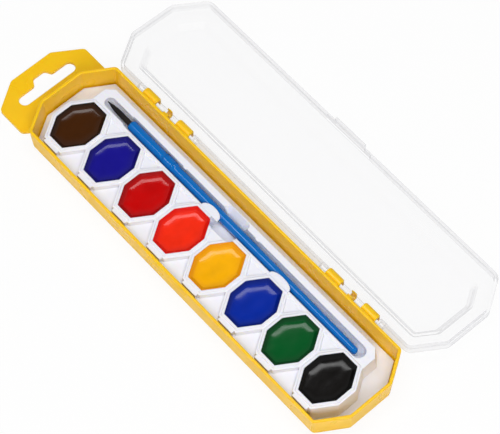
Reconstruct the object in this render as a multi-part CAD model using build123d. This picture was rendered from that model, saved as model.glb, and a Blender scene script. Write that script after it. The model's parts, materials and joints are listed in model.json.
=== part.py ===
from build123d import *
import os
from dataclasses import dataclass
from math import cos, hypot, pi, sin, sqrt

# Watercolour paint set: a long eight-sided plastic case with a hang tab, a
# clear lid lying open on its two snap hinges, a white tray with eight paint
# cakes, and a brush in the tray's groove.
# Millimetres. The origin is the middle of the case's underside. X runs along
# the case with the hang tab at -X, the hinges are at +Y and +Z is up.

# Case
case_half_length = 94.3
case_half_width = 23.4
case_corner_x = 8.2
case_corner_y = 12.9
case_corner_radius = 2.4
case_height = 12.0
case_draft = 0.6
case_wall = 1.3
case_floor = 1.2
rim_round = 0.35
foot_round = 0.7

# Hang tab and its slot
tab_reach = 21.0
tab_thickness = 1.5
tab_corner_x = 8.2
tab_corner_y = 12.2
slot_length = 29.0
slot_width = 5.4
slot_from_rim = 9.95
slot_notch_base = 9.4
slot_notch_top = 6.0
slot_notch_depth = 3.2
slot_notch_radius = 1.9
slot_shoulder_radius = 1.6
slot_cut_margin = 1.0

# Snap hinges
hinge_offset = 55.7
hinge_gap = 2.0
hinge_drop = 2.6
rod_radius = 1.2
rod_clearance = 0.05
clip_radius = 2.2
clip_width = 7.9
clip_spacing = 20.6
clip_web_height = 3.0
clip_corner_radius = 1.3
clip_corner_share = 0.4
finger_width = 2.8
finger_radius = 1.9
snap_mouth = 1.9

# Lid
lid_gap = 0.4
lid_wall = 1.3
lid_overlap = 3.3
lid_top_wall = 1.1
lid_rim_clearance = 0.35
lid_depth = 7.6
shoulder_width = 7.6
shoulder_round = 0.88
bevel_run = 2.2
lid_open_angle = 183.4
hinge_notch_half = 15.2
hinge_notch_clearance = 0.6
ear_width = 3.0
ear_radius = 1.7

# Latch
latch_half_length = 12.6
latch_taper = 1.6
latch_reach = 0.6
latch_depth = 3.7
latch_clearance = 0.45
catch_half_length = 8.7
catch_wall = 1.15
catch_drop = 1.8
catch_bead = 0.35
catch_round = 0.38
relief_cover = 0.5

# Tray
tray_clearance = 0.5
tray_sheet = 0.9
tray_flange = 0.9
tray_height = 10.3
tray_draft = 0.9
tower_margin = 1.9
front_margin = 3.3
front_draft = 0.2
back_edge = 16.6
back_corner = 3.2
shelf_half_length = 81.6
ledge_drop = 2.0
ledge_gap = 0.2
ledge_overlap = 0.4
back_dip_depth = 0.7
back_dip_half = 5.0
back_dip_tip = -0.6
back_dip_slope = 0.8
lip_width = 1.2
lip_height = 0.45
lip_slope = 0.35

# Wells and paint cakes
pan_count = 8
pan_pitch = 21.61
pan_line = -5.9
pan_half_x = 9.2
pan_half_y = 11.86
pan_corner_x = 5.13
pan_corner_y = 7.86
pan_depth = 3.9
pan_draft = 0.5
cake_clearance = 0.05
cake_edge = 0.25
cake_dish_depth = 2.2
cake_dish_run = 2.2
cake_dish_round = 1.1
cake_below_lip = 0.1

# Groove for the brush
groove_line = 10.85
groove_half_width = 3.0
groove_start = -65.5
groove_end = 78.0
tip_groove_half_width = 2.5
tip_groove_end = -77.6
groove_clearance = 0.3
scoop_start = -7.5
scoop_end = 6.5
scoop_front = 3.6
scoop_back = 16.4
scoop_depth = 4.4
scoop_front_slope = 0.9
scoop_back_slope = 3.0
scoop_side_slope = 1.5
scoop_round = 2.6
nub_radius = 2.8
nub_places = (-9.3, 32.4)
back_nub_radius = 1.6
back_nub_places = (-31.5, 12.5)
nub_clearance = 0.3

# Brush
brush_turn = -0.3
brush_axis_height = 7.9
sleeve_start = -62.5
sleeve_end = -34.5
sleeve_radius = 2.25
sleeve_bore = 1.45
collar_length = 7.5
collar_radius = 2.5
ring_width = 0.5
ring_depth = 0.2
collar_ramp = 1.0
mouth_land = 0.15
handle_end = 74.4
handle_start_radius = 2.15
handle_middle = 0.0
handle_middle_radius = 2.05
handle_end_radius = 1.6
spigot_length = 16.0
spigot_clearance = 0.05
bristle_reach = 14.8
bristle_radius = 1.25
bristle_rings = 10
bristle_thickness = 0.075
bristle_tip_share = 0.72
bristle_round_share = 0.34
backing_depth = 1.2
backing_thickness = 1.2

PAN_NAMES = ("brown", "violet", "red", "vermilion", "yellow", "blue", "green", "black")


@dataclass(frozen=True)
class Octagon:
    """A rectangle with its four corners cut off, seen from above."""

    half_x: float
    half_y: float
    cut_x: float
    cut_y: float
    mid_x: float = 0.0
    mid_y: float = 0.0

    def inset(self, step):
        """The same outline with every side moved inwards by step."""
        slant = hypot(self.cut_x, self.cut_y)
        cut_y = self.cut_y - step + step * (slant - self.cut_y) / self.cut_x
        cut_x = self.cut_x * cut_y / self.cut_y
        return Octagon(self.half_x - step, self.half_y - step, cut_x, cut_y, self.mid_x, self.mid_y)

    def face(self, z, radius=0.0):
        """A flat face of the outline at height z, with rounded corners."""
        corners = []
        for sign_x, sign_y in ((1, 1), (-1, 1), (-1, -1), (1, -1)):
            side = (self.mid_x + sign_x * self.half_x, self.mid_y + sign_y * (self.half_y - self.cut_y))
            end = (self.mid_x + sign_x * (self.half_x - self.cut_x), self.mid_y + sign_y * self.half_y)
            corners += [side, end] if sign_x == sign_y else [end, side]
        outline = make_face(Polyline(corners, close=True))
        if radius > 0:
            outline = fillet(outline.vertices(), radius)
        return Pos(0, 0, z) * outline.faces()[0]


# Outlines and heights that several pieces share
case_rim = Octagon(case_half_length, case_half_width, case_corner_x, case_corner_y)
lid_rim = case_rim.inset(-lid_gap - lid_wall)
hinge_y = case_half_width + hinge_gap
hinge_z = case_height - hinge_drop
lid_rim_z = case_height - lid_overlap
shoulder_inside_z = case_height + lid_rim_clearance
shoulder_top_z = shoulder_inside_z + lid_top_wall
lid_top_z = lid_rim_z + lid_depth
lip_top_z = tray_height + lip_height
ledge_z = tray_height - ledge_drop


def frustum(low, low_z, high, high_z, radius=0.0):
    """A solid between one outline at low_z and another at high_z."""
    return loft([low.face(low_z, radius), high.face(high_z, radius)], ruled=True)


def block(low, high):
    """An upright box between two opposite corners."""
    size = [b - a for a, b in zip(low, high)]
    middle = [(a + b) / 2 for a, b in zip(low, high)]
    return Pos(*middle) * Box(*size)


def bar_along_x(start, end, radius, y, z):
    """A round bar along X."""
    return Pos((start + end) / 2, y, z) * Rot(0, 90, 0) * Cylinder(radius, end - start)


def pan_outline(index):
    """The outline of one well at the top of its lip."""
    middle = (index - (pan_count - 1) / 2) * pan_pitch
    return Octagon(pan_half_x, pan_half_y, pan_corner_x, pan_corner_y, middle, pan_line)


def case_inset(z):
    """How far the case's outer wall stands inside its rim at height z."""
    return case_draft * (case_height - z) / case_height


def hang_slot():
    """The cut-out that a shop peg goes through, a slot with a notch for its tip."""
    middle = -case_half_length - slot_from_rim
    slot = Pos(middle, 0, 0) * Rot(0, 0, 90) * SlotOverall(slot_length, slot_width)
    slot_edge = middle - slot_width / 2
    notch_end = slot_edge - slot_notch_depth
    notch = make_face(Polyline(
        (middle, -slot_notch_base / 2), (slot_edge, -slot_notch_base / 2), (notch_end, -slot_notch_top / 2),
        (notch_end, slot_notch_top / 2), (slot_edge, slot_notch_base / 2), (middle, slot_notch_base / 2),
        close=True))
    outline = slot + notch
    tip_corners = outline.vertices().sort_by(Axis.X)[:2]
    outline = fillet(tip_corners, slot_notch_radius)
    shoulders = [corner for corner in outline.vertices()
                 if abs(corner.X - slot_edge) < 0.1 and abs(abs(corner.Y) - slot_notch_base / 2) < 0.1]
    outline = fillet(shoulders, slot_shoulder_radius)
    return extrude(Pos(0, 0, -slot_cut_margin) * outline, tab_thickness + 2 * slot_cut_margin)


def hang_tab():
    """The flat plate that carries the hang slot."""
    foot = case_rim.inset(case_draft)
    plate_end = -case_half_length - tab_reach
    plate_start = -case_half_length + case_corner_x + case_wall
    plate = Octagon((plate_start - plate_end) / 2, foot.half_y, tab_corner_x, tab_corner_y,
                    (plate_start + plate_end) / 2, 0)
    return extrude(plate.face(0, case_corner_radius), tab_thickness) - hang_slot()


def hinge_clip(middle, width, radius, mouth_up):
    """One barrel on the case's back wall, open on one side so that the lid's rod snaps in."""
    back_wall = case_half_width - case_wall / 2
    barrel = bar_along_x(middle - width / 2, middle + width / 2, radius, hinge_y, hinge_z)
    web = block((middle - width / 2, back_wall, hinge_z - clip_web_height / 2),
                (middle + width / 2, hinge_y, hinge_z + clip_web_height / 2))
    plan = Pos(middle, (back_wall + hinge_y + radius) / 2) * Rectangle(width, hinge_y + radius - back_wall)
    plan = fillet(plan.vertices().sort_by(Axis.Y)[2:], min(clip_corner_radius, clip_corner_share * width))
    clip = (barrel + web) & extrude(Pos(0, 0, hinge_z - 2 * radius) * plan, 4 * radius)
    hole = bar_along_x(middle - width, middle + width, rod_radius + rod_clearance, hinge_y, hinge_z)
    reach = 2 * radius if mouth_up else -2 * radius
    low_z, high_z = sorted((hinge_z, hinge_z + reach))
    mouth = block((middle - width, hinge_y - snap_mouth / 2, low_z),
                  (middle + width, hinge_y + snap_mouth / 2, high_z))
    return clip - hole - mouth


def latch_ledge():
    """The sloped ledge on the case's front wall that the lid's catch drops over."""
    low_z = case_height - latch_depth
    wall = -case_half_width + case_wall / 2
    profile = make_face(Polyline(
        (wall, case_height),
        (-case_half_width, case_height),
        (-case_half_width - latch_reach, low_z + latch_reach / 2),
        (-case_half_width - latch_reach, low_z),
        (-case_half_width + case_inset(low_z), low_z - latch_reach / 2),
        (wall, low_z - latch_reach / 2), close=True))
    ledge = extrude(Plane.YZ * profile, latch_half_length, both=True)
    plan = make_face(Polyline(
        (-latch_half_length, wall),
        (-latch_half_length + latch_taper, -case_half_width - 2 * latch_reach),
        (latch_half_length - latch_taper, -case_half_width - 2 * latch_reach),
        (latch_half_length, wall), close=True))
    return ledge & extrude(plan, 2 * case_height)


def base_case():
    """The case: tray-shaped shell, hang tab, hinge clips and latch ledge in one moulding."""
    foot = case_rim.inset(case_draft)
    shell = frustum(foot, 0, case_rim, case_height, case_corner_radius)
    shell = fillet(shell.edges().group_by(Axis.Z)[0], foot_round)
    inside_radius = case_corner_radius - case_wall
    floor_outline = case_rim.inset(case_inset(case_floor) + case_wall)
    cavity = frustum(floor_outline, case_floor, case_rim.inset(case_wall), case_height, inside_radius)
    shell = fillet((shell - cavity).edges().group_by(Axis.Z)[-1], rim_round)
    shell = shell + (hang_tab() - cavity) + latch_ledge()
    for side in (-1, 1):
        middle = side * hinge_offset
        shell += hinge_clip(middle, finger_width, finger_radius, True)
        for half in (-0.5, 0.5):
            shell += hinge_clip(middle + half * clip_spacing, clip_width, clip_radius, False)
    return shell


def lid_shell():
    """The closed lid's skirt, shoulder, bevel and top panel."""
    skirt = frustum(lid_rim, lid_rim_z, lid_rim, shoulder_top_z, case_corner_radius + lid_gap + lid_wall)
    skirt = fillet(skirt.edges().group_by(Axis.Z)[-1], shoulder_round)
    panel_foot = lid_rim.inset(shoulder_width)
    panel = panel_foot.inset(bevel_run)
    rise = frustum(panel_foot.inset(-lid_top_wall), shoulder_top_z - lid_top_wall / 2,
                   panel.inset(-lid_top_wall), lid_top_z, case_corner_radius)
    skirt_hollow = extrude(lid_rim.inset(lid_wall).face(lid_rim_z, case_corner_radius + lid_gap),
                           shoulder_inside_z - lid_rim_z)
    rise_hollow = frustum(panel_foot, shoulder_inside_z, panel, lid_top_z - lid_top_wall,
                          case_corner_radius)
    return skirt + rise - skirt_hollow - rise_hollow


def lid_hinge_rods(lid):
    """Cut the skirt open round each hinge and add the rod and the ears that hold it."""
    skirt_inside = lid_rim.half_y - lid_wall
    notch_top = hinge_z + clip_radius + hinge_notch_clearance
    for side in (-1, 1):
        middle = side * hinge_offset
        start = middle - hinge_notch_half
        end = middle + hinge_notch_half
        lid -= block((start, skirt_inside - lid_gap / 2, lid_rim_z - 1),
                     (end, lid_rim.half_y + 1, notch_top))
        lid += bar_along_x(start - ear_width / 2, end + ear_width / 2, rod_radius, hinge_y, hinge_z)
        for ear_start in (start - ear_width, end):
            ear = bar_along_x(ear_start, ear_start + ear_width, ear_radius, hinge_y, hinge_z)
            arm = block((ear_start, skirt_inside + lid_wall / 2, hinge_z - ear_radius / 2),
                        (ear_start + ear_width, hinge_y, hinge_z + ear_radius))
            lid += ear + arm
    return lid


def lid_catch(lid):
    """Relieve the front skirt for the latch ledge and add the catch that hangs below it."""
    relief_face = -case_half_width - latch_reach - latch_clearance
    half = latch_half_length + latch_clearance
    lid -= block((-half, relief_face, lid_rim_z - relief_cover),
                 (half, -case_half_width, shoulder_inside_z - relief_cover))
    bead_face = relief_face - catch_wall
    tongue = block((-catch_half_length, bead_face, lid_rim_z - catch_drop),
                   (catch_half_length, relief_face, shoulder_top_z - lid_top_wall))
    tongue = fillet(tongue.edges().filter_by(Axis.X), catch_round)
    bead = bar_along_x(-catch_half_length + catch_wall, catch_half_length - catch_wall, catch_bead,
                       relief_face - catch_bead / 2, lid_rim_z - catch_drop + catch_bead * 2)
    return lid + tongue + bead


def lid():
    """The clear lid, lying open behind the case."""
    closed = lid_catch(lid_hinge_rods(lid_shell()))
    return closed.rotate(Axis((0, hinge_y, hinge_z), (1, 0, 0)), -lid_open_angle)


def pan_tower(index, step, top_z):
    """The raised block round one well, inset by step, from the case's floor to top_z."""
    outline = pan_outline(index).inset(-tower_margin + step)
    tower = frustum(outline.inset(-tray_draft), case_floor, outline, top_z)
    front = pan_line - pan_half_y - front_margin + step
    half = pan_half_x - pan_corner_x - step
    foot = front - front_draft
    middle = outline.mid_x
    side = make_face(Polyline((foot, case_floor), (pan_line, case_floor), (pan_line, top_z),
                              (front, top_z), close=True))
    return tower + Pos(middle, 0, 0) * extrude(Plane.YZ * side, half, both=True)


def tray_block(step, top_z, ledge_top_z):
    """The tray's raised middle as a solid, with every side inset by step."""
    back = (pan_line + back_edge) / 2
    shelf = Octagon(shelf_half_length - step, back_edge - step - back, back_corner, back_corner, 0, back)
    body = frustum(shelf.inset(-tray_draft), case_floor, shelf, top_z)
    for index in range(pan_count):
        body += pan_tower(index, step, top_z)
    ledge_half = pan_pitch / 2 - pan_half_x + pan_corner_x + ledge_overlap - step
    ledge_front = -case_half_width + case_wall + case_draft + ledge_gap + step
    for index in range(pan_count - 1):
        middle = pan_outline(index).mid_x + pan_pitch / 2
        body += block((middle - ledge_half, ledge_front, case_floor),
                      (middle + ledge_half, pan_line, ledge_top_z))
    return body


def well(index, step):
    """The space of one well, grown outwards by step."""
    outline = pan_outline(index)
    floor_z = lip_top_z - pan_depth - step
    return frustum(outline.inset(pan_draft - step), floor_z, outline.inset(-step), lip_top_z)


def well_lip(index):
    """The raised edge round one well."""
    outline = pan_outline(index)
    return frustum(outline.inset(-lip_width - lip_slope), tray_height - tray_sheet / 2,
                   outline.inset(-lip_width + lip_slope), lip_top_z)


def groove_space(step, top_z):
    """The brush groove with its narrow tip end, grown outwards by step."""
    floor_z = brush_axis_height - collar_radius - groove_clearance
    space = None
    for start, end, half_width in ((groove_start, groove_end, groove_half_width),
                                   (tip_groove_end, groove_start + groove_half_width, tip_groove_half_width)):
        radius = half_width + step
        centre_z = floor_z + groove_half_width
        trough = bar_along_x(start + half_width, end - half_width, radius, groove_line, centre_z)
        trough += Pos(start + half_width, groove_line, centre_z) * Sphere(radius)
        trough += Pos(end - half_width, groove_line, centre_z) * Sphere(radius)
        plan = Pos((start + end) / 2, groove_line) * SlotOverall(end - start + 2 * step, 2 * radius)
        trough += extrude(Pos(0, 0, centre_z) * plan, top_z - centre_z)
        space = trough if space is None else space + trough
    return space


def finger_scoop(step, top_z):
    """The sloping hollow across the groove that lets two fingers lift the brush."""
    middle_x = (scoop_start + scoop_end) / 2
    length = scoop_end - scoop_start + 2 * step
    width = scoop_back - scoop_front + 2 * step
    mouth = Pos(middle_x, (scoop_front + scoop_back) / 2) * Rectangle(length, width)
    mouth = Pos(0, 0, tray_height) * fillet(mouth.vertices(), scoop_round + step)
    floor_width = width - scoop_front_slope - scoop_back_slope
    floor_y = (scoop_front + scoop_front_slope + scoop_back - scoop_back_slope) / 2
    floor = Pos(middle_x, floor_y) * Rectangle(length - 2 * scoop_side_slope, floor_width)
    floor = Pos(0, 0, tray_height - scoop_depth - step) * fillet(floor.vertices(), scoop_round)
    bowl = loft([floor.faces()[0], mouth.faces()[0]])
    return bowl + extrude(mouth, top_z - tray_height)


def back_dip(index, step, top_z):
    """The shallow three-sided hollow with sloping sides behind two neighbouring wells."""
    middle = pan_outline(index).mid_x + pan_pitch / 2
    back = groove_line - groove_half_width - lip_width
    plans = []
    for grow, z in ((step - back_dip_slope, tray_height - back_dip_depth - step), (step, tray_height)):
        half = back_dip_half + grow
        plan = make_face(Polyline((middle - half, back + grow), (middle, back_dip_tip - grow),
                                  (middle + half, back + grow), close=True))
        plans.append(Pos(0, 0, z) * plan)
    hollow = loft([plan.faces()[0] for plan in plans], ruled=True)
    return hollow + extrude(plans[-1], top_z - tray_height)


def groove_nubs():
    """Rounded nubs on both sides of the groove that narrow it so that the brush can't roll out."""
    nubs = None
    reach = handle_start_radius + nub_clearance
    for side, radius, places in ((-1, nub_radius, nub_places), (1, back_nub_radius, back_nub_places)):
        for place in places:
            centre_y = groove_line + side * (reach + radius)
            nub = Pos(place, centre_y, tray_height - tray_sheet) * extrude(Circle(radius), tray_sheet)
            nubs = nub if nubs is None else nubs + nub
    for index in range(pan_count):
        nubs -= extrude(pan_outline(index).inset(-lip_width).face(0), 2 * case_height)
    return nubs


def paint_tray():
    """The white tray, one thin sheet with wells, groove, scoop and a flange on the case's floor."""
    far_up = case_height + 5
    tray = tray_block(0, tray_height, ledge_z)
    hollow = tray_block(tray_sheet, tray_height - tray_sheet, ledge_z - tray_sheet)
    for index in range(pan_count):
        tray += well_lip(index)
        hollow -= well(index, tray_sheet)
    hollow -= groove_space(tray_sheet, far_up)
    hollow -= finger_scoop(tray_sheet, far_up)
    for index in range(pan_count):
        tray -= well(index, 0)
    tray -= groove_space(0, far_up)
    tray -= finger_scoop(0, far_up)
    for index in range(pan_count - 1):
        if abs(pan_outline(index).mid_x + pan_pitch / 2) > scoop_end:
            tray -= back_dip(index, 0, far_up)
            hollow -= back_dip(index, tray_sheet, far_up)
    tray += groove_nubs()
    tray -= hollow
    flange = case_rim.inset(case_draft + case_wall + tray_clearance)
    plate = extrude(flange.face(case_floor, case_corner_radius - case_wall), tray_flange)
    return tray + (plate - tray_block(tray_sheet, tray_height - tray_sheet, ledge_z - tray_sheet))


def paint_cake(index):
    """One dried paint cake with a dished top."""
    outline = pan_outline(index).inset(cake_clearance)
    low_z = lip_top_z - pan_depth
    high_z = lip_top_z - cake_below_lip
    share = cake_below_lip / pan_depth
    cake = frustum(outline.inset(pan_draft), low_z, outline.inset(pan_draft * share), high_z)
    mouth = outline.inset(pan_draft * share + cake_edge)
    dish = frustum(mouth.inset(cake_dish_run), high_z - cake_dish_depth, mouth, high_z)
    dish = fillet(dish.edges().group_by(Axis.Z)[0], cake_dish_round)
    return cake - dish


def placed_on_brush_axis(shape):
    """Move a shape made along X through the origin to where the brush lies."""
    return Pos(0, groove_line, brush_axis_height) * Rot(0, 0, brush_turn) * shape


def turned(points):
    """A solid turned about X from (x, radius) points."""
    return revolve(make_face(Polyline(points, close=True)), Axis.X)


def brush_sleeve():
    """The blue sleeve that grips the bristles, with its collar and two ring lines."""
    collar_start = sleeve_end - collar_length
    sleeve = turned([(sleeve_start, sleeve_bore), (sleeve_start, sleeve_radius), (collar_start, sleeve_radius),
                     (collar_start + collar_ramp, collar_radius), (sleeve_end - collar_ramp, collar_radius),
                     (sleeve_end, handle_start_radius), (sleeve_end, sleeve_bore)])
    mouth_edge = sleeve.edges().filter_by(GeomType.CIRCLE).group_by(Axis.X)[0].sort_by(SortBy.RADIUS)[-1]
    sleeve = fillet(mouth_edge, sleeve_radius - sleeve_bore - mouth_land)
    cut_radius = collar_radius + ring_depth
    for place in (collar_start + collar_ramp, sleeve_end - collar_ramp - ring_width):
        sleeve -= turned([(place, collar_radius - ring_depth), (place, cut_radius),
                          (place + ring_width, cut_radius), (place + ring_width, collar_radius - ring_depth)])
    return placed_on_brush_axis(sleeve)


def brush_handle():
    """The tapering handle with a round end and the spigot that plugs into the sleeve."""
    spigot_radius = sleeve_bore - spigot_clearance
    outline = [Line((sleeve_end - spigot_length, 0), (sleeve_end - spigot_length, spigot_radius)),
               Line((sleeve_end - spigot_length, spigot_radius), (sleeve_end, spigot_radius)),
               Line((sleeve_end, spigot_radius), (sleeve_end, handle_start_radius)),
               Line((sleeve_end, handle_start_radius), (handle_middle, handle_middle_radius)),
               Line((handle_middle, handle_middle_radius), (handle_end - handle_end_radius, handle_end_radius)),
               RadiusArc((handle_end - handle_end_radius, handle_end_radius), (handle_end, 0),
                         handle_end_radius),
               Line((handle_end, 0), (sleeve_end - spigot_length, 0))]
    return placed_on_brush_axis(revolve(make_face(outline), Axis.X))


def strand(place_y, place_z):
    """One three-sided bristle from the backing to the tip, at its place in the bundle."""
    root_x = sleeve_start + backing_depth
    share = hypot(place_y, place_z) / bristle_radius
    tip_x = sleeve_start - bristle_reach * (1 - bristle_round_share * share ** 3)
    run = (root_x - tip_x) / (root_x - sleeve_start + bristle_reach)
    shrink = 1 - (1 - bristle_tip_share) * run
    sections = []
    for x, scale in ((root_x + backing_thickness / 2, 1.0), (tip_x, shrink)):
        corners = []
        for corner in range(3):
            angle = 2 * pi * corner / 3
            corners.append((x, scale * (place_y + bristle_thickness / sqrt(3) * cos(angle)),
                            scale * (place_z + bristle_thickness / sqrt(3) * sin(angle))))
        sections.append(make_face(Polyline(corners, close=True)))
    return loft(sections, ruled=True)


def brush_bristles():
    """The bristle bundle: rings of separate strands set in a slice of backing."""
    backing_start = sleeve_start + backing_depth
    backing = bar_along_x(backing_start, backing_start + backing_thickness, sleeve_bore, 0, 0)
    strands = [strand(0, 0)]
    ring_step = (bristle_radius - bristle_thickness) / bristle_rings
    for ring in range(1, bristle_rings + 1):
        count = 6 * ring
        for place in range(count):
            angle = 2 * pi * (place + 0.5 * (ring % 2)) / count
            strands.append(strand(ring * ring_step * cos(angle), ring * ring_step * sin(angle)))
    print("bristle strands:", len(strands))
    return placed_on_brush_axis(backing.fuse(*strands))


def main():
    """Write every piece to its own file."""
    os.makedirs("parts", exist_ok=True)
    pieces = {"base_case": base_case(), "lid": lid(), "paint_tray": paint_tray(),
              "brush_sleeve": brush_sleeve(), "brush_handle": brush_handle(),
              "brush_bristles": brush_bristles()}
    for index, name in enumerate(PAN_NAMES):
        pieces["paint_" + name] = paint_cake(index)
    for name, shape in pieces.items():
        export_step(shape, f"parts/{name}.step")


main()
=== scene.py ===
"""Looks of a watercolour paint set: yellow case, clear lid, white tray, eight paints and a brush."""
import json
import logging
from dataclasses import dataclass
from enum import Enum
from math import atan2, cos, pi, radians, sin

import bmesh
import bpy
from mathutils import Matrix, Vector

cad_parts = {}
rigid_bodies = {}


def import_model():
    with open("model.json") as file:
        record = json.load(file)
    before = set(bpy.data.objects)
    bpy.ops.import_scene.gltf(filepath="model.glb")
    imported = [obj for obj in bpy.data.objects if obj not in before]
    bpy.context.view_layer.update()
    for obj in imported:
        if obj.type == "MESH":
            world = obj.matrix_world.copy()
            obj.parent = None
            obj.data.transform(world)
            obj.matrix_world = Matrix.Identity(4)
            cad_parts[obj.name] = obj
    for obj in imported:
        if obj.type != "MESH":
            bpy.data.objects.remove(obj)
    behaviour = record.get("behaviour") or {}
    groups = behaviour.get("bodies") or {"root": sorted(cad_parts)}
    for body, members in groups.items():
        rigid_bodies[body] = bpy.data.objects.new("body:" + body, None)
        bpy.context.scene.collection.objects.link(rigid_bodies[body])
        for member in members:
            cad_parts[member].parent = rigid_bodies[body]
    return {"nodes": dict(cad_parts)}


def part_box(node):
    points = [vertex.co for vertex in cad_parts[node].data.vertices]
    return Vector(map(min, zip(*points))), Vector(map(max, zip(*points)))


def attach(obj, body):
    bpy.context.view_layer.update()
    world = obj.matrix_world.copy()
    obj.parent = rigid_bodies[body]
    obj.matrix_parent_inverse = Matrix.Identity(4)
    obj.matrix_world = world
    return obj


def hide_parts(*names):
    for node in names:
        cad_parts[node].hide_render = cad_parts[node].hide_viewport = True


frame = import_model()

LOG = logging.getLogger("paint_set")
MM = 0.001

Color = tuple[float, float, float]
Point = tuple[float, float, float]


class Noise(Enum):
    """The patterns that a finish can be mottled with, each with its number of octaves."""

    CLOUD = 2.0
    FINE = 5.0


def linear(rgb: Color) -> tuple[float, float, float, float]:
    """Turn a display colour of 0 to 255 into scene-linear red, green, blue and alpha.

    Args:
        rgb: The colour as it shows on a screen, 0 to 255 a channel.

    Returns:
        The same colour for a shader socket.
    """
    shares = [channel / 255 for channel in rgb]
    values = [share / 12.92 if share <= 0.04045 else ((share + 0.055) / 1.055) ** 2.4 for share in shares]
    return (values[0], values[1], values[2], 1.0)


class ShaderTree:
    """A small builder for one material's nodes."""

    def __init__(self, name: str) -> None:
        """Start an empty material.

        Args:
            name: The material's name.
        """
        self.material = bpy.data.materials.new(name)
        self.material.use_nodes = True
        self.nodes = self.material.node_tree.nodes
        self.links = self.material.node_tree.links
        self.nodes.clear()
        self.output = self.nodes.new("ShaderNodeOutputMaterial")
        self.coords = self.nodes.new("ShaderNodeTexCoord").outputs["Object"]

    def add(self, kind: str, operation: str | None = None, **inputs: object) -> bpy.types.Node:
        """Add a node and fill its inputs.

        Args:
            kind: Blender's name of the node type.
            operation: The operation, for a node that has one.
            inputs: Socket names, with spaces written as underscores, and the value or socket for each.

        Returns:
            The new node.
        """
        node = self.nodes.new(kind)
        if operation is not None:
            node.operation = operation
        for key, value in inputs.items():
            self.feed(node.inputs[key.replace("_", " ")], value)
        return node

    def feed(self, socket: bpy.types.NodeSocket, value: object) -> None:
        """Link a socket to an input, or set the input's value.

        Args:
            socket: The input.
            value: Another node's output, or a plain value.
        """
        if isinstance(value, bpy.types.NodeSocket):
            self.links.new(value, socket)
        else:
            socket.default_value = value

    def noise(self, scale: float, detail: float, stretch: Point = (1.0, 1.0, 1.0)) -> bpy.types.NodeSocket:
        """A noise pattern on the object's own coordinates.

        Args:
            scale: How many waves a metre holds.
            detail: The pattern's octaves.
            stretch: A factor on the coordinates along each axis.

        Returns:
            The noise value's output.
        """
        place = self.add("ShaderNodeMapping", Vector=self.coords, Scale=stretch)
        pattern = self.add("ShaderNodeTexNoise", Vector=place.outputs[0], Scale=scale, Detail=detail)
        return pattern.outputs["Fac"]

    def spread(self, value: bpy.types.NodeSocket, low: float, high: float, start: float = 0.3,
               end: float = 0.7) -> bpy.types.NodeSocket:
        """Map a value's range to another one.

        Args:
            value: The output that is mapped.
            low: The result at start.
            high: The result at end.
            start: The value that gives low.
            end: The value that gives high.

        Returns:
            The mapped output.
        """
        node = self.add("ShaderNodeMapRange", Value=value,
                        From_Min=start, From_Max=end, To_Min=low, To_Max=high)
        return node.outputs[0]

    def mix(self, share: object, first: object, second: object) -> bpy.types.NodeSocket:
        """Mix two colours.

        Args:
            share: How much of the second colour there is.
            first: The first colour.
            second: The second colour.

        Returns:
            The mixed colour's output.
        """
        node = self.nodes.new("ShaderNodeMix")
        node.data_type = "RGBA"
        self.feed(node.inputs[0], share)
        self.feed(node.inputs[6], first)
        self.feed(node.inputs[7], second)
        return node.outputs[2]

    def bump(self, height: bpy.types.NodeSocket, distance: float,
             below: bpy.types.NodeSocket | None = None) -> bpy.types.NodeSocket:
        """Turn a height pattern into a normal.

        Args:
            height: The pattern.
            distance: How deep it is in metres.
            below: Another bump's normal that this one goes on top of.

        Returns:
            The normal's output.
        """
        node = self.add("ShaderNodeBump", Height=height, Distance=distance)
        if below is not None:
            self.links.new(below, node.inputs["Normal"])
        return node.outputs[0]

    def finish(self, shader: bpy.types.NodeSocket) -> bpy.types.Material:
        """Send a shader to the output.

        Args:
            shader: The shader.

        Returns:
            The finished material.
        """
        self.links.new(shader, self.output.inputs["Surface"])
        return self.material


def darker(color: tuple[float, float, float, float], share: float) -> tuple[float, float, float, float]:
    """Make a scene-linear colour darker.

    Args:
        color: The colour, with its alpha.
        share: How much of its light is taken away, 0 to 1.

    Returns:
        The darker colour.
    """
    return (color[0] * (1 - share), color[1] * (1 - share), color[2] * (1 - share), 1.0)


@dataclass(frozen=True)
class MouldedPlastic:
    """Solid moulded plastic with a faint mottle, uneven gloss, a shallow ripple and softened edges."""

    name: str
    rgb: Color
    roughness: float = 0.32
    uneven: float = 0.08
    mottle: float = 0.05
    ripple: float = 0.00001
    specular: float = 0.4
    glow: float = 0.0
    edge: float = 0.0004
    edge_samples: int = 6
    cloud_scale: float = 45.0
    grain_scale: float = 900.0
    grain_share: float = 0.125
    glow_radius: Point = (1.0, 0.7, 0.3)
    glow_depth: float = 0.001

    def build(self) -> bpy.types.Material:
        """Make the plastic's material."""
        tree = ShaderTree(self.name)
        color = linear(self.rgb)
        cloud = tree.noise(self.cloud_scale, Noise.CLOUD.value)
        grain = tree.noise(self.grain_scale, Noise.FINE.value)
        base = tree.mix(tree.spread(cloud, 0.0, 1.0), color, darker(color, self.mottle))
        rough = tree.spread(cloud, self.roughness - self.uneven, self.roughness + self.uneven)
        soft = tree.add("ShaderNodeBevel", Radius=self.edge)
        soft.samples = self.edge_samples
        rippled = tree.bump(cloud, self.ripple, soft.outputs[0])
        normal = tree.bump(grain, self.ripple * self.grain_share, rippled)
        shader = tree.add("ShaderNodeBsdfPrincipled", Base_Color=base, Roughness=rough, Normal=normal)
        shader.inputs["Specular IOR Level"].default_value = self.specular
        if self.glow > 0:
            shader.inputs["Subsurface Weight"].default_value = self.glow
            shader.inputs["Subsurface Radius"].default_value = self.glow_radius
            shader.inputs["Subsurface Scale"].default_value = self.glow_depth
        return tree.finish(shader.outputs[0])


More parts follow.
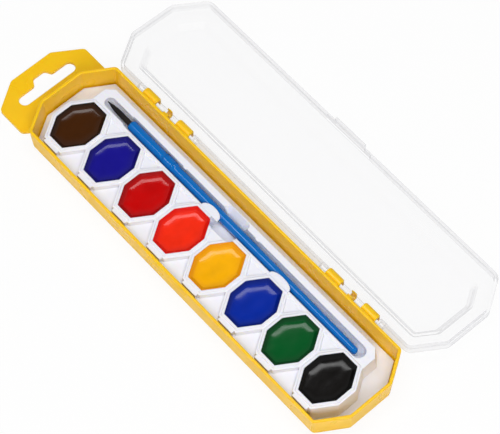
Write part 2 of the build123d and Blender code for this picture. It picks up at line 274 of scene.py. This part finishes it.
@dataclass(frozen=True)
class ClearPlastic:
    """Clear moulded plastic with a faint veil that thickens where a wall is seen along its length."""

    name: str
    rgb: Color
    roughness: float = 0.12
    veil: float = 0.035
    edge_veil: float = 0.72
    edge_power: float = 2.4
    ripple: float = 0.00002
    uneven: float = 0.04
    mottle: float = 0.06
    flow_scale: float = 60.0
    flow_stretch: Point = (0.4, 1.0, 1.0)

    def build(self) -> bpy.types.Material:
        """Make the clear plastic's material."""
        tree = ShaderTree(self.name)
        color = linear(self.rgb)
        flow = tree.noise(self.flow_scale, Noise.CLOUD.value, self.flow_stretch)
        base = tree.mix(tree.spread(flow, 0.0, 1.0), color, darker(color, self.mottle))
        rough = tree.spread(flow, self.roughness - self.uneven, self.roughness + self.uneven)
        normal = tree.bump(flow, self.ripple)
        plastic = tree.add("ShaderNodeBsdfPrincipled", Base_Color=base, Roughness=rough, Normal=normal)
        through = tree.add("ShaderNodeBsdfTransparent", Color=(1.0, 1.0, 1.0, 1.0))
        slant = tree.add("ShaderNodeLayerWeight", Blend=0.5).outputs["Facing"]
        steep = tree.add("ShaderNodeMath", operation="POWER")
        tree.links.new(slant, steep.inputs[0])
        steep.inputs[1].default_value = self.edge_power
        solid = tree.spread(steep.outputs[0], self.veil, self.edge_veil, 0.0, 1.0)
        shader = tree.add("ShaderNodeMixShader", Fac=solid)
        tree.links.new(through.outputs[0], shader.inputs[1])
        tree.links.new(plastic.outputs[0], shader.inputs[2])
        return tree.finish(shader.outputs[0])


@dataclass(frozen=True)
class DriedPaint:
    """A glossy cake of dried paint, its colour darkened up its sloping rim as painted shade, and streaked where
    it dried.
    """

    name: str
    rgb: Color
    # Painted shade: the rim colour is a darker tone that is mixed in up the cake's sloping rim.
    rim_shade_rgb: Color
    floor_z: float
    rim_z: float
    roughness: float = 0.16
    smoother: float = 0.04
    rougher: float = 0.06
    specular: float = 0.3
    mottle: float = 0.12
    cloud_scale: float = 160.0
    cloud_depth: float = 0.00004
    streak_scale: float = 420.0
    streak_depth: float = 0.000003
    streak_stretch: Point = (1.0, 0.35, 1.0)

    def build(self) -> bpy.types.Material:
        """Make the paint's material."""
        tree = ShaderTree(self.name)
        cloud = tree.noise(self.cloud_scale, Noise.CLOUD.value)
        streak = tree.noise(self.streak_scale, Noise.FINE.value, self.streak_stretch)
        height = tree.add("ShaderNodeSeparateXYZ", Vector=tree.coords).outputs["Z"]
        # Painted shade: from floor_z up to rim_z the colour turns to the darker rim colour, standing in for
        # shade on the dish's sloping wall.
        rise = tree.spread(height, 0.0, 1.0, self.floor_z, self.rim_z)
        color = linear(self.rgb)
        dried = tree.mix(tree.spread(cloud, 0.0, 1.0, 0.35, 0.75), color, darker(color, self.mottle))
        base = tree.mix(rise, dried, linear(self.rim_shade_rgb))
        rough = tree.spread(streak, self.roughness - self.smoother, self.roughness + self.rougher)
        normal = tree.bump(streak, self.streak_depth, tree.bump(cloud, self.cloud_depth))
        shader = tree.add("ShaderNodeBsdfPrincipled", Base_Color=base, Roughness=rough, Normal=normal)
        shader.inputs["Specular IOR Level"].default_value = self.specular
        return tree.finish(shader.outputs[0])


@dataclass(frozen=True)
class BristleHair:
    """Dark synthetic hair, streaked along the bundle."""

    name: str
    rgb: Color
    tip_rgb: Color
    root_x: float
    tip_x: float
    roughness: tuple[float, float] = (0.38, 0.6)
    specular: float = 0.35
    dark_share: float = 0.6
    dark: float = 0.5
    strand_scale: float = 2600.0
    strand_depth: float = 0.00001
    strand_stretch: Point = (0.03, 1.0, 1.0)

    def build(self) -> bpy.types.Material:
        """Make the hair's material."""
        tree = ShaderTree(self.name)
        strand = tree.noise(self.strand_scale, Noise.CLOUD.value, self.strand_stretch)
        length = tree.add("ShaderNodeSeparateXYZ", Vector=tree.coords).outputs["X"]
        reach = tree.spread(length, 0.0, 1.0, self.root_x, self.tip_x)
        hair = tree.mix(reach, linear(self.rgb), linear(self.tip_rgb))
        base = tree.mix(tree.spread(strand, 0.0, self.dark_share), hair, darker(linear(self.rgb), self.dark))
        rough = tree.spread(strand, *self.roughness)
        normal = tree.bump(strand, self.strand_depth)
        shader = tree.add("ShaderNodeBsdfPrincipled", Base_Color=base, Roughness=rough, Normal=normal)
        shader.inputs["Specular IOR Level"].default_value = self.specular
        return tree.finish(shader.outputs[0])


def cad_node(name: str) -> bpy.types.Object:
    """The CAD node of that name."""
    return frame["nodes"][name]


def dress(piece: bpy.types.Object, material: bpy.types.Material) -> None:
    """Give a piece one material all over.

    Args:
        piece: The object to dress.
        material: Its finish.
    """
    piece.data.materials.clear()
    piece.data.materials.append(material)
    for polygon in piece.data.polygons:
        polygon.material_index = 0


def dress_node(node: bpy.types.Object, material: bpy.types.Material) -> None:
    """Put a finish on a CAD node through its object's own slots.

    Args:
        node: The CAD node's object.
        material: Its finish.
    """
    for slot in node.material_slots:
        slot.link = "OBJECT"
        slot.material = material


@dataclass
class CaseLooks:
    """The yellow case with its hang tab, hinge clips and latch ledge."""

    plastic: MouldedPlastic

    def build(self) -> list[bpy.types.Object]:
        """Dress the case.

        Returns:
            The case's visible pieces.
        """
        node = cad_node("base_case")
        dress_node(node, self.plastic.build())
        return [node]


@dataclass
class LidLooks:
    """The clear lid, lying open."""

    plastic: ClearPlastic

    def build(self) -> list[bpy.types.Object]:
        """Dress the lid.

        Returns:
            The lid's visible pieces.
        """
        node = cad_node("lid")
        dress_node(node, self.plastic.build())
        return [node]


@dataclass
class TrayLooks:
    """The white tray that holds the paints and the brush."""

    plastic: MouldedPlastic
    lobes: tuple[Point, ...] = ((-9.25, 5.1, 10.6), (32.4, 5.7, 10.1))
    lobe_root: float = 7.35
    lobe_back: float = 6.9
    lobe_low: float = 10.28
    lobe_top: float = 10.8
    lobe_sections: int = 28
    lobe_fullness: float = 0.8
    nose: float = 0.24
    nose_share: float = 0.45
    nose_turns: tuple[int, ...] = (-75, -50, -25, 0, 25, 50, 75)
    lobe_crease: float = 70.0

    def build(self) -> list[bpy.types.Object]:
        """Dress the tray.

        Returns:
            The tray's visible pieces.
        """
        node = cad_node("paint_tray")
        material = self.plastic.build()
        dress_node(node, material)
        pieces = [node]
        for number, lobe in enumerate(self.lobes, start=1):
            piece = self.lobe(f"brush_snap_lobe_{number}", *lobe)
            dress(piece, material)
            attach(piece, "tray")
            pieces.append(piece)
        return pieces

    def lobe(self, name: str, middle: float, half: float, tip: float) -> bpy.types.Object:
        """Make one springy lobe of the tray that reaches over the brush.

        Args:
            name: The piece's name.
            middle: Where it stands along X, in millimetres.
            half: Half its length along X.
            tip: How far it reaches along Y.

        Returns:
            The lobe's piece.
        """
        verts: list[Point] = []
        for step in range(self.lobe_sections + 1):
            turn = pi * step / self.lobe_sections
            x = middle - half * cos(turn)
            front = self.lobe_root + (tip - self.lobe_root) * sin(turn) ** self.lobe_fullness
            nose = min(self.nose, self.nose_share * (front - self.lobe_back))
            top, low = self.lobe_top, self.lobe_low
            centre = (top + low) / 2
            rise = (top - low) / 2
            outline = [(self.lobe_back, low), (front - 2 * nose, low)]
            outline += [(front - nose + nose * cos(a), centre + rise * sin(a))
                        for a in (radians(v) for v in self.nose_turns)]
            outline += [(front - 2 * nose, top), (self.lobe_back, top)]
            verts += [(x * MM, y * MM, z * MM) for y, z in outline]
        piece = new_piece(name, verts, ring_faces(len(outline), self.lobe_sections + 1))
        shade_soft(piece, self.lobe_crease)
        return piece


def new_piece(name: str, verts: list[Point], faces: list[tuple[int, ...]]) -> bpy.types.Object:
    """Make an object in the scene from plain mesh data.

    Args:
        name: The piece's name.
        verts: Its points in metres.
        faces: Its faces as runs of point numbers.

    Returns:
        The new object, with its faces turned outwards.
    """
    mesh = bpy.data.meshes.new(name)
    mesh.from_pydata(verts, [], faces)
    shape = bmesh.new()
    shape.from_mesh(mesh)
    bmesh.ops.recalc_face_normals(shape, faces=shape.faces)
    shape.to_mesh(mesh)
    shape.free()
    piece = bpy.data.objects.new(name, mesh)
    bpy.context.scene.collection.objects.link(piece)
    return piece


def shade_soft(piece: bpy.types.Object, angle: float) -> None:
    """Shade a piece smoothly, with a crease where its faces meet at more than an angle.

    Args:
        piece: The piece.
        angle: The angle in degrees.
    """
    for polygon in piece.data.polygons:
        polygon.use_smooth = True
    piece.data.set_sharp_from_angle(angle=radians(angle))


def ring_faces(count: int, rings: int) -> list[tuple[int, ...]]:
    """The faces of a closed skin over rings of points, with a cap on the first and the last ring.

    Args:
        count: How many points a ring has.
        rings: How many rings there are.

    Returns:
        The faces as runs of point numbers.
    """
    faces: list[tuple[int, ...]] = [tuple(range(count))]
    for ring in range(rings - 1):
        low = ring * count
        for place in range(count):
            after = (place + 1) % count
            faces.append((low + place, low + after, low + count + after, low + count + place))
    faces.append(tuple(range((rings - 1) * count, rings * count)))
    return faces


@dataclass
class CakeLooks:
    """One cake of dried paint: an eight-sided dish that drew up its well's walls as it dried."""

    tone: str
    rgb: Color
    # Painted shade: the darker rim colour that the paint turns to up its sloping wall.
    rim_shade_rgb: Color
    cut: tuple[float, float] = (5.1, 7.82)
    wall_draft: float = 0.45
    dish: tuple[Point, ...] = (
        (0.00, -0.14, 90.0), (0.04, -0.04, 80.0), (0.14, 0.00, 70.0), (0.28, -0.05, 60.0), (0.60, -0.37, 52.0),
        (1.00, -0.79, 46.0), (1.40, -1.22, 40.0), (1.74, -1.57, 36.0), (1.82, -1.63, 34.0), (1.94, -1.67, 33.0),
        (2.10, -1.72, 31.0), (2.35, -1.795, 28.0), (2.60, -1.86, 26.0), (2.90, -1.93, 23.0), (3.25, -2.00, 20.0),
        (3.70, -2.07, 17.0), (4.30, -2.13, 14.0), (5.00, -2.17, 11.0), (6.20, -2.19, 9.0), (7.20, -2.19, 8.0),
        (8.20, -2.19, 7.0), (8.95, -2.19, 6.0))
    per_side: int = 14
    crease: float = 60.0
    # How far below the cake's top the painted rim shade starts, and where it is full.
    floor_depth: float = 2.1 * MM
    rim_depth: float = 0.2 * MM

    def sides(self, half: tuple[float, float]) -> list[tuple[float, float]]:
        """The direction and the distance of the outline's eight sides.

        Args:
            half: Half the outline's size along X and Y.

        Returns:
            Eight pairs of an angle and a distance in millimetres.
        """
        slant = (self.cut[0] ** 2 + self.cut[1] ** 2) ** 0.5
        lean = atan2(self.cut[0], self.cut[1])
        reach = (self.cut[1] * half[0] + self.cut[0] * (half[1] - self.cut[1])) / slant
        result = []
        for quarter in range(4):
            straight = half[quarter % 2]
            result.append((quarter * pi / 2, straight))
            corner = lean if quarter % 2 == 0 else pi / 2 - lean
            result.append((quarter * pi / 2 + corner, reach))
        return result

    def ring(self, half: tuple[float, float], inset: float, crisp: float) -> list[tuple[float, float]]:
        """One ring of points on the outline moved inwards.

        Args:
            half: Half the outline's size along X and Y.
            inset: How far the ring stands inside the outline.
            crisp: How sharp its corners are.

        Returns:
            The ring's points in millimetres from the cake's middle.
        """
        sides = self.sides(half)
        corners = sorted(atan2(y, x) % (2 * pi) for x, y in self.corners(half))
        points = []
        for first, second in zip(corners, corners[1:] + [corners[0] + 2 * pi]):
            for step in range(self.per_side):
                angle = first + (second - first) * step / self.per_side
                total = sum(max(0.0, cos(angle - turn) / (reach - inset)) ** crisp for turn, reach in sides)
                radius = total ** (-1 / crisp)
                points.append((radius * cos(angle), radius * sin(angle)))
        return points

    def corners(self, half: tuple[float, float]) -> list[tuple[float, float]]:
        """The outline's eight corners in millimetres from the cake's middle."""
        result = []
        for sign_x in (-1, 1):
            for sign_y in (-1, 1):
                result.append((sign_x * half[0], sign_y * (half[1] - self.cut[1])))
                result.append((sign_x * (half[0] - self.cut[0]), sign_y * half[1]))
        return result

    def build(self) -> bpy.types.Object:
        """Make the cake in its well and dress it.

        Returns:
            The cake's visible piece.
        """
        low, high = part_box("paint_" + self.tone)
        middle = ((low[0] + high[0]) / 2, (low[1] + high[1]) / 2)
        half = ((high[0] - low[0]) / 2 / MM, (high[1] - low[1]) / 2 / MM)
        foot = (low[2] - high[2]) / MM
        profile = ((self.wall_draft, foot, 90.0),) + self.dish
        verts = []
        for inset, depth, crisp in profile:
            for x, y in self.ring(half, inset, crisp):
                verts.append((middle[0] + x * MM, middle[1] + y * MM, high[2] + depth * MM))
        piece = new_piece(self.tone + "_cake", verts, ring_faces(8 * self.per_side, len(profile)))
        shade_soft(piece, self.crease)
        paint = DriedPaint(self.tone + "_paint_dried", self.rgb, self.rim_shade_rgb,
                           high[2] - self.floor_depth, high[2] - self.rim_depth)
        dress(piece, paint.build())
        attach(piece, "tray")
        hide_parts("paint_" + self.tone)
        return piece


class GroupInput(Enum):
    """The bristle tree's named inputs, each with its label and its socket type."""

    COUNT = ("Count", "NodeSocketInt")
    RADIUS = ("Bundle radius", "NodeSocketFloat")
    REACH = ("Reach", "NodeSocketFloat")
    THICKNESS = ("Hair radius", "NodeSocketFloat")
    ROUNDING = ("Rounding", "NodeSocketFloat")
    POINT = ("Point", "NodeSocketFloat")


class FieldTree:
    """A small builder for one Geometry Nodes tree."""

    def __init__(self, name: str, inputs: type[Enum]) -> None:
        """Start a tree with a geometry output and named inputs.

        Args:
            name: The tree's name.
            inputs: The named inputs and their socket types.
        """
        self.tree = bpy.data.node_groups.new(name, "GeometryNodeTree")
        self.tree.interface.new_socket("Geometry", in_out="INPUT", socket_type="NodeSocketGeometry")
        self.tree.interface.new_socket("Geometry", in_out="OUTPUT", socket_type="NodeSocketGeometry")
        self.ids: dict[Enum, str] = {}
        for entry in inputs:
            label, kind = entry.value
            socket = self.tree.interface.new_socket(label, in_out="INPUT", socket_type=kind)
            self.ids[entry] = socket.identifier
        self.entrance = self.tree.nodes.new("NodeGroupInput")
        self.exit = self.tree.nodes.new("NodeGroupOutput")

    def value(self, entry: Enum) -> bpy.types.NodeSocket:
        """The output that carries a named input."""
        return self.entrance.outputs[entry.value[0]]

    def add(self, kind: str, *inputs: object) -> bpy.types.Node:
        """Add a node and fill its inputs in order.

        Args:
            kind: Blender's name of the node type.
            inputs: A value or a socket for each input, or None to leave it.

        Returns:
            The new node.
        """
        node = self.tree.nodes.new(kind)
        self.fill(node, *inputs)
        return node

    def fill(self, node: bpy.types.Node, *inputs: object) -> None:
        """Fill a node's inputs in order.

        Args:
            node: The node.
            inputs: A value or a socket for each input, or None to leave it.
        """
        for socket, value in zip(node.inputs, inputs):
            if isinstance(value, bpy.types.NodeSocket):
                self.tree.links.new(value, socket)
            elif value is not None:
                socket.default_value = value

    def math(self, operation: str, *inputs: object) -> bpy.types.NodeSocket:
        """Work out a number.

        Args:
            operation: Blender's name of the operation.
            inputs: The numbers or sockets it takes.

        Returns:
            The result's output.
        """
        node = self.tree.nodes.new("ShaderNodeMath")
        node.operation = operation
        self.fill(node, *inputs)
        return node.outputs[0]

    def vector(self, x: object, y: object, z: object) -> bpy.types.NodeSocket:
        """Join three numbers to a vector."""
        return self.add("ShaderNodeCombineXYZ", x, y, z).outputs[0]


@dataclass
class BristleBundle:
    """The bundle of fine hairs that comes out of the sleeve and closes to a rounded point."""

    hair: BristleHair
    root: Point
    turn: float
    count: int = 520
    radius: float = 1.14 * MM
    reach: float = 15.0 * MM
    thickness: float = 0.052 * MM
    rounding: float = 0.09
    point: float = 0.22
    hidden: float = 1.5 * MM
    golden_angle: float = 2.399963
    joints: int = 9
    corners: int = 4
    shortening: float = 3.0
    closing: float = 7.0
    waves: float = 5.0
    wave_size: float = 0.035
    thinning: float = 0.6
    thinning_power: float = 3.0

    def tree(self, material: bpy.types.Material) -> FieldTree:
        """Build the node tree that grows the hairs.

        Args:
            material: The hairs' finish.

        Returns:
            The tree with its inputs' identifiers.
        """
        field_tree = FieldTree("bristle_hairs", GroupInput)
        index = field_tree.add("GeometryNodeInputIndex").outputs[0]
        angle = field_tree.math("MULTIPLY", index, self.golden_angle)
        share = field_tree.math("SQRT", field_tree.math(
            "DIVIDE", field_tree.math("ADD", index, 0.5), field_tree.value(GroupInput.COUNT)))
        place_y = field_tree.math("MULTIPLY", share, field_tree.math("COSINE", angle))
        place_z = field_tree.math("MULTIPLY", share, field_tree.math("SINE", angle))
        points = field_tree.add("GeometryNodePoints", field_tree.value(GroupInput.COUNT),
                                field_tree.vector(0.0, place_y, place_z))
        line = field_tree.add("GeometryNodeCurvePrimitiveLine", (0.0, 0.0, 0.0), (-1.0, 0.0, 0.0))
        fine = field_tree.add("GeometryNodeResampleCurve", line.outputs[0])
        fine.inputs["Count"].default_value = self.joints
        copies = field_tree.add("GeometryNodeInstanceOnPoints", points.outputs[0], None, fine.outputs[0])
        hairs = field_tree.add("GeometryNodeRealizeInstances", copies.outputs[0])
        spot = field_tree.add("ShaderNodeSeparateXYZ", field_tree.add("GeometryNodeInputPosition").outputs[0])
        along = field_tree.math("MULTIPLY", spot.outputs[0], -1.0)
        out = field_tree.math("SQRT", field_tree.math(
            "ADD", field_tree.math("MULTIPLY", spot.outputs[1], spot.outputs[1]),
            field_tree.math("MULTIPLY", spot.outputs[2], spot.outputs[2])))
        shorter = field_tree.math("SUBTRACT", 1.0, field_tree.math(
            "MULTIPLY", field_tree.value(GroupInput.ROUNDING),
            field_tree.math("POWER", out, self.shortening)))
        length = field_tree.math("MULTIPLY", field_tree.value(GroupInput.REACH), shorter)
        closing = field_tree.math("SUBTRACT", 1.0, field_tree.math(
            "MULTIPLY", field_tree.math("SUBTRACT", 1.0, field_tree.value(GroupInput.POINT)),
            field_tree.math("POWER", along, self.closing)))
        phase = field_tree.math("ADD", field_tree.math("MULTIPLY", along, self.waves), angle)
        wave = field_tree.math("MULTIPLY", field_tree.math("SINE", phase), self.wave_size)
        spread = field_tree.math("MULTIPLY", field_tree.value(GroupInput.RADIUS),
                                 field_tree.math("ADD", closing, field_tree.math("MULTIPLY", wave, along)))
        place = field_tree.vector(
            field_tree.math("MULTIPLY", field_tree.math("MULTIPLY", along, -1.0), length),
            field_tree.math("MULTIPLY", spot.outputs[1], spread),
            field_tree.math("MULTIPLY", spot.outputs[2], spread))
        moved = field_tree.add("GeometryNodeSetPosition", hairs.outputs[0], None, place)
        travel = field_tree.add("GeometryNodeSplineParameter").outputs[0]
        taper = field_tree.math("SUBTRACT", 1.0, field_tree.math(
            "MULTIPLY", field_tree.math("POWER", travel, self.thinning_power), self.thinning))
        thin = field_tree.add("GeometryNodeSetCurveRadius", moved.outputs[0])
        field_tree.tree.links.new(taper, thin.inputs["Radius"])
        section = field_tree.add("GeometryNodeCurvePrimitiveCircle")
        section.inputs["Resolution"].default_value = self.corners
        field_tree.tree.links.new(field_tree.value(GroupInput.THICKNESS), section.inputs["Radius"])
        skin = field_tree.add("GeometryNodeCurveToMesh", thin.outputs[0], section.outputs[0])
        skin.inputs["Fill Caps"].default_value = True
        radius = field_tree.add("GeometryNodeInputRadius").outputs[0]
        field_tree.tree.links.new(radius, skin.inputs["Scale"])
        whole = field_tree.add("GeometryNodeRealizeInstances", skin.outputs[0])
        finish = field_tree.add("GeometryNodeSetMaterial", whole.outputs[0], None, material)
        field_tree.tree.links.new(finish.outputs[0], field_tree.exit.inputs[0])
        return field_tree

    def build(self) -> bpy.types.Object:
        """Grow the hairs, turn them into a plain mesh and lay them on the brush's line.

        Returns:
            The bristles' piece.
        """
        material = self.hair.build()
        field_tree = self.tree(material)
        seed = bpy.data.objects.new("bristle_seed", bpy.data.meshes.new("bristle_seed"))
        bpy.context.scene.collection.objects.link(seed)
        grow = seed.modifiers.new("grow", "NODES")
        grow.node_group = field_tree.tree
        sizes = {GroupInput.COUNT: self.count, GroupInput.RADIUS: self.radius,
                 GroupInput.REACH: self.reach + self.hidden, GroupInput.THICKNESS: self.thickness,
                 GroupInput.ROUNDING: self.rounding, GroupInput.POINT: self.point}
        for entry, value in sizes.items():
            grow[field_tree.ids[entry]] = value
        depsgraph = bpy.context.evaluated_depsgraph_get()
        mesh = bpy.data.meshes.new_from_object(seed.evaluated_get(depsgraph), depsgraph=depsgraph)
        bpy.data.objects.remove(seed)
        mesh.name = "bristle_bundle"
        mesh.transform(Matrix.Translation(self.root) @ Matrix.Rotation(self.turn, 4, "Z")
                       @ Matrix.Translation((self.hidden, 0.0, 0.0)))
        piece = bpy.data.objects.new("bristle_bundle", mesh)
        bpy.context.scene.collection.objects.link(piece)
        dress(piece, material)
        for polygon in mesh.polygons:
            polygon.use_smooth = True
        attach(piece, "brush")
        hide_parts("brush_bristles")
        return piece


@dataclass
class BrushLooks:
    """The brush: glossy blue sleeve and handle with a bundle of dark bristles."""

    plastic: MouldedPlastic
    hair: BristleHair
    line_y: float = 10.85 * MM
    line_z: float = 7.9 * MM
    turn: float = radians(-0.3)
    mouth_x: float = -62.5 * MM

    def build(self) -> list[bpy.types.Object]:
        """Dress the brush and grow its bristles.

        Returns:
            The brush's visible pieces.
        """
        material = self.plastic.build()
        pieces = [cad_node("brush_sleeve"), cad_node("brush_handle")]
        for node in pieces:
            dress_node(node, material)
        root = (self.mouth_x * cos(self.turn), self.line_y + self.mouth_x * sin(self.turn), self.line_z)
        pieces.append(BristleBundle(self.hair, root, self.turn).build())
        return pieces


@dataclass
class Studio:
    """The camera, floor, lamps and world."""

    azimuth: float = 49.286
    elevation: float = 62.08
    roll: float = -0.924
    lens: float = 163.31
    place: Point = (0.325144, -0.258899, 0.812428)
    sensor: float = 36.0
    clip_start: float = 0.01
    floor_size: float = 3.0
    floor_drop: float = 0.00002
    floor_level: float = 0.9
    floor_clean: float = 0.88
    lamp_place: Point = (-0.07, 0.05, 0.9)
    lamp_turn: float = pi / 4
    lamp_length: float = 1.15
    lamp_width: float = 0.22
    lamp_power: float = 4.8
    fill_size: float = 0.5
    fill_power: float = 5.6
    fill_reach: float = 1.1
    fill_elevation: float = 42.0
    room_levels: tuple[tuple[float, float], ...] = (
        (0.0, 0.38), (0.46, 0.38), (0.7, 0.32), (0.86, 0.14))

    def camera(self) -> None:
        """Set the camera at the photograph's viewing angle."""
        side = radians(self.azimuth)
        lift = radians(self.elevation)
        back = Vector((sin(side) * cos(lift), -cos(side) * cos(lift), sin(lift)))
        right = Vector((cos(side), sin(side), 0.0))
        up = back.cross(right)
        turn = radians(self.roll)
        right_turned = cos(turn) * right + sin(turn) * up
        up_turned = -sin(turn) * right + cos(turn) * up
        data = bpy.data.cameras.new("camera")
        data.lens = self.lens
        data.sensor_width = self.sensor
        data.sensor_fit = "HORIZONTAL"
        data.clip_start = self.clip_start
        camera = bpy.data.objects.new("camera", data)
        camera.matrix_world = Matrix((
            (right_turned.x, up_turned.x, back.x, self.place[0]),
            (right_turned.y, up_turned.y, back.y, self.place[1]),
            (right_turned.z, up_turned.z, back.z, self.place[2]),
            (0.0, 0.0, 0.0, 1.0)))
        bpy.context.scene.collection.objects.link(camera)
        bpy.context.scene.camera = camera

    def floor(self) -> None:
        """Lay a plain white floor that shows a faint soft shadow."""
        mesh = bpy.data.meshes.new("floor")
        half = self.floor_size / 2
        drop = -self.floor_drop
        mesh.from_pydata([(-half, -half, drop), (half, -half, drop), (half, half, drop), (-half, half, drop)],
                         [], [(0, 1, 2, 3)])
        floor = bpy.data.objects.new("floor", mesh)
        bpy.context.scene.collection.objects.link(floor)
        tree = ShaderTree("floor_white")
        level = self.floor_level
        matte = tree.add("ShaderNodeBsdfDiffuse", Color=(level, level, level, 1.0))
        white = tree.add("ShaderNodeEmission", Color=(1.0, 1.0, 1.0, 1.0), Strength=1.0)
        path = tree.add("ShaderNodeLightPath")
        seen = tree.add("ShaderNodeMath", operation="MAXIMUM")
        tree.links.new(path.outputs["Is Camera Ray"], seen.inputs[0])
        tree.links.new(path.outputs["Is Transmission Ray"], seen.inputs[1])
        share = tree.add("ShaderNodeMath", operation="MULTIPLY")
        tree.links.new(seen.outputs[0], share.inputs[0])
        share.inputs[1].default_value = self.floor_clean
        mixed = tree.add("ShaderNodeMixShader", Fac=share.outputs[0])
        tree.links.new(matte.outputs[0], mixed.inputs[1])
        tree.links.new(white.outputs[0], mixed.inputs[2])
        mesh.materials.append(tree.finish(mixed.outputs[0]))

    def lamps(self) -> None:
        """Hang a long softbox overhead, along the diagonal of X and Y, and a square one by the camera."""
        data = bpy.data.lights.new("softbox", "AREA")
        data.shape = "RECTANGLE"
        data.size = self.lamp_length
        data.size_y = self.lamp_width
        data.energy = self.lamp_power
        lamp = bpy.data.objects.new("softbox", data)
        lamp.location = self.lamp_place
        lamp.rotation_euler = (0.0, 0.0, self.lamp_turn)
        bpy.context.scene.collection.objects.link(lamp)
        fill_data = bpy.data.lights.new("fill", "AREA")
        fill_data.size = self.fill_size
        fill_data.energy = self.fill_power
        fill = bpy.data.objects.new("fill", fill_data)
        side = radians(self.azimuth)
        lift = radians(self.fill_elevation)
        away = Vector((sin(side) * cos(lift), -cos(side) * cos(lift), sin(lift)))
        fill.location = away * self.fill_reach
        fill.rotation_euler = away.to_track_quat("Z", "Y").to_euler()
        fill.visible_glossy = False
        bpy.context.scene.collection.objects.link(fill)

    def world(self) -> None:
        """Fill the room with soft light that is weaker from the ceiling than from the walls."""
        world = bpy.data.worlds.new("room")
        world.use_nodes = True
        nodes, links = world.node_tree.nodes, world.node_tree.links
        background = nodes["Background"]
        background.inputs["Strength"].default_value = 1.0
        split = nodes.new("ShaderNodeSeparateXYZ")
        links.new(nodes.new("ShaderNodeTexCoord").outputs["Generated"], split.inputs[0])
        ramp = nodes.new("ShaderNodeValToRGB")
        ramp.color_ramp.interpolation = "EASE"
        ramp.color_ramp.elements.remove(ramp.color_ramp.elements[-1])
        for number, (height, level) in enumerate(self.room_levels):
            stop = ramp.color_ramp.elements[0] if number == 0 else ramp.color_ramp.elements.new(height)
            stop.position = height
            stop.color = (level, level, level, 1.0)
        links.new(split.outputs["Z"], ramp.inputs[0])
        links.new(ramp.outputs[0], background.inputs["Color"])
        bpy.context.scene.world = world

    def build(self) -> None:
        """Set up everything round the object."""
        self.camera()
        self.floor()
        self.lamps()
        self.world()
        bpy.context.scene.view_settings.view_transform = "Standard"


CASE_YELLOW = MouldedPlastic("case_yellow", (250, 200, 14), roughness=0.3, specular=0.4, glow=0.35)
LID_CLEAR = ClearPlastic("lid_clear", (206, 206, 214))
TRAY_WHITE = MouldedPlastic("tray_white", (236, 236, 243), roughness=0.34, mottle=0.02, glow=0.2)
BRUSH_BLUE = MouldedPlastic(
    "brush_blue", (0, 107, 188), roughness=0.06, uneven=0.02, specular=0.34, edge=0.0001)
BRISTLE_DARK = BristleHair("bristle_dark", (44, 36, 30), (26, 20, 18), -62.5 * MM, -77.0 * MM)
# Each paint: its name, its own colour, and a darker rim colour that paints shade up the cake's sloping wall.
PAINTS: tuple[tuple[str, Color, Color], ...] = (
    ("brown", (64, 30, 0), (34, 16, 1)),
    ("violet", (22, 16, 138), (14, 8, 96)),
    ("red", (196, 0, 0), (150, 0, 4)),
    ("vermilion", (245, 44, 14), (214, 10, 2)),
    ("yellow", (246, 176, 0), (228, 146, 0)),
    ("blue", (0, 40, 156), (0, 26, 112)),
    ("green", (0, 84, 34), (0, 56, 22)),
    ("black", (16, 14, 13), (4, 4, 4)),
)


def main() -> None:
    """Build every sub-assembly's looks in order and report each."""
    logging.basicConfig(level=logging.INFO)
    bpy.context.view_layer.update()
    Studio().build()
    pieces = CaseLooks(CASE_YELLOW).build()
    pieces += LidLooks(LID_CLEAR).build()
    pieces += TrayLooks(TRAY_WHITE).build()
    for tone, rgb, rim_shade_rgb in PAINTS:
        pieces.append(CakeLooks(tone, rgb, rim_shade_rgb).build())
    pieces += BrushLooks(BRUSH_BLUE, BRISTLE_DARK).build()
    for piece in pieces:
        LOG.info("%s: %d faces", piece.name, len(piece.data.polygons))


if __name__ == "__main__":
    main()
